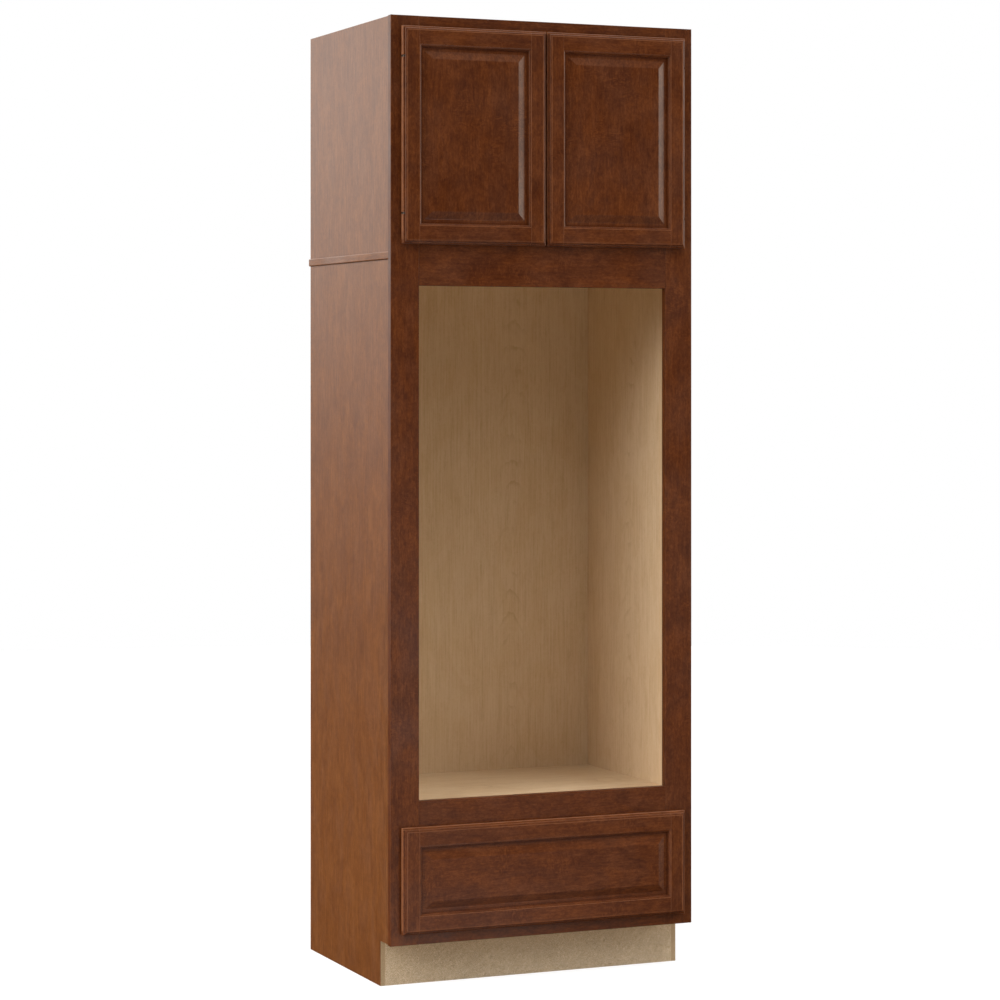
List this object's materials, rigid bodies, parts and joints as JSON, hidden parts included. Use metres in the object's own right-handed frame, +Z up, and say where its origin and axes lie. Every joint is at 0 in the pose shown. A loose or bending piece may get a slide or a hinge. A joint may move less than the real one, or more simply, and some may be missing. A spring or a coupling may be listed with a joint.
{
  "type": "tall oven housing unit",
  "caption": "Tall face-framed kitchen housing for a built-in double oven: open oven bay, raised-panel cupboard doors above, slide-out drawer and toe space below.",
  "frame": {"origin": "centre of the overall footprint (door faces to back) at floor level", "axes": "+Z up, +X to the right seen from the front, the doors face -Y"},
  "size_m": [0.8382, 0.6312, 2.4384],
  "materials": {
    "stained_maple": "dark reddish brown stained maple, satin lacquer",
    "stained_veneer": "reddish brown stained veneer, satin lacquer",
    "natural_maple": "pale natural maple laminate, satin",
    "raw_board": "raw particle board, matt",
    "drawer_maple": "clear lacquered maple, satin",
    "zinc_steel": "zinc plated, satin",
    "bronzed_steel": "bronzed steel, satin"
  },
  "bodies": {
    "cabinet": {"left_side_lower": "stained_veneer", "left_side_upper": "stained_veneer", "left_side_splice": "natural_maple", "left_seam_strip": "stained_maple", "left_deck_cleat": "natural_maple", "left_frame_stile": "stained_maple", "left_slide_cabinet_member": "zinc_steel", "left_slide_rear_socket": "zinc_steel", "left_bottom_hinge_frame_leaf": "bronzed_steel", "left_top_hinge_frame_leaf": "bronzed_steel", "right_side_lower": "stained_veneer", "right_side_upper": "stained_veneer", "right_side_splice": "natural_maple", "right_seam_strip": "stained_maple", "right_deck_cleat": "natural_maple", "right_frame_stile": "stained_maple", "right_slide_cabinet_member": "zinc_steel", "right_slide_rear_socket": "zinc_steel", "right_bottom_hinge_frame_leaf": "bronzed_steel", "right_top_hinge_frame_leaf": "bronzed_steel", "floor_panel": "natural_maple", "oven_deck": "natural_maple", "cupboard_floor": "natural_maple", "cupboard_shelf": "natural_maple", "top_panel": "natural_maple", "back_panel": "natural_maple", "top_nailer": "natural_maple", "toe_board": "raw_board", "top_rail": "stained_maple", "middle_rail": "stained_maple", "lower_rail": "stained_maple", "bottom_rail": "stained_maple"},
    "left_door": {"left_door_left_stile": "stained_maple", "left_door_right_stile": "stained_maple", "left_door_bottom_rail": "stained_maple", "left_door_top_rail": "stained_maple", "left_door_panel": "stained_maple", "left_bottom_hinge_door_leaf": "bronzed_steel", "left_top_hinge_door_leaf": "bronzed_steel"},
    "right_door": {"right_door_left_stile": "stained_maple", "right_door_right_stile": "stained_maple", "right_door_bottom_rail": "stained_maple", "right_door_top_rail": "stained_maple", "right_door_panel": "stained_maple", "right_bottom_hinge_door_leaf": "bronzed_steel", "right_top_hinge_door_leaf": "bronzed_steel"},
    "drawer": {"drawer_front_left_stile": "stained_maple", "drawer_front_right_stile": "stained_maple", "drawer_front_bottom_rail": "stained_maple", "drawer_front_top_rail": "stained_maple", "drawer_front_panel": "stained_maple", "drawer_box_left_side": "drawer_maple", "drawer_box_right_side": "drawer_maple", "drawer_box_front": "drawer_maple", "drawer_box_back": "drawer_maple", "drawer_box_bottom": "drawer_maple", "left_slide_drawer_member": "zinc_steel", "right_slide_drawer_member": "zinc_steel"},
    "left_slide_middle": {"left_slide_middle_member": "zinc_steel"},
    "right_slide_middle": {"right_slide_middle_member": "zinc_steel"}
  },
  "joints": [
    {"name": "left_door_hinge", "type": "hinge", "parent": "cabinet", "child": "left_door", "pos_m": [-0.3877, -0.30533, 2.13935], "axis": [0, 0, -1], "range_deg": [0, 105]},
    {"name": "right_door_hinge", "type": "hinge", "parent": "cabinet", "child": "right_door", "pos_m": [0.3877, -0.30533, 2.13935], "axis": [0, 0, 1], "range_deg": [0, 105]},
    {"name": "drawer_slide", "type": "slide", "parent": "cabinet", "child": "drawer", "axis": [0, -1, 0], "range_m": [0, 0.5588]},
    {"name": "left_slide_middle_run", "type": "slide", "parent": "cabinet", "child": "left_slide_middle", "axis": [0, -1, 0], "range_m": [0, 0.2794]},
    {"name": "right_slide_middle_run", "type": "slide", "parent": "cabinet", "child": "right_slide_middle", "axis": [0, -1, 0], "range_m": [0, 0.2794]}
  ],
  "couplings": [
    {"joint": "left_slide_middle_run", "follows": "drawer_slide", "ratio": 0.5},
    {"joint": "right_slide_middle_run", "follows": "drawer_slide", "ratio": 0.5}
  ]
}
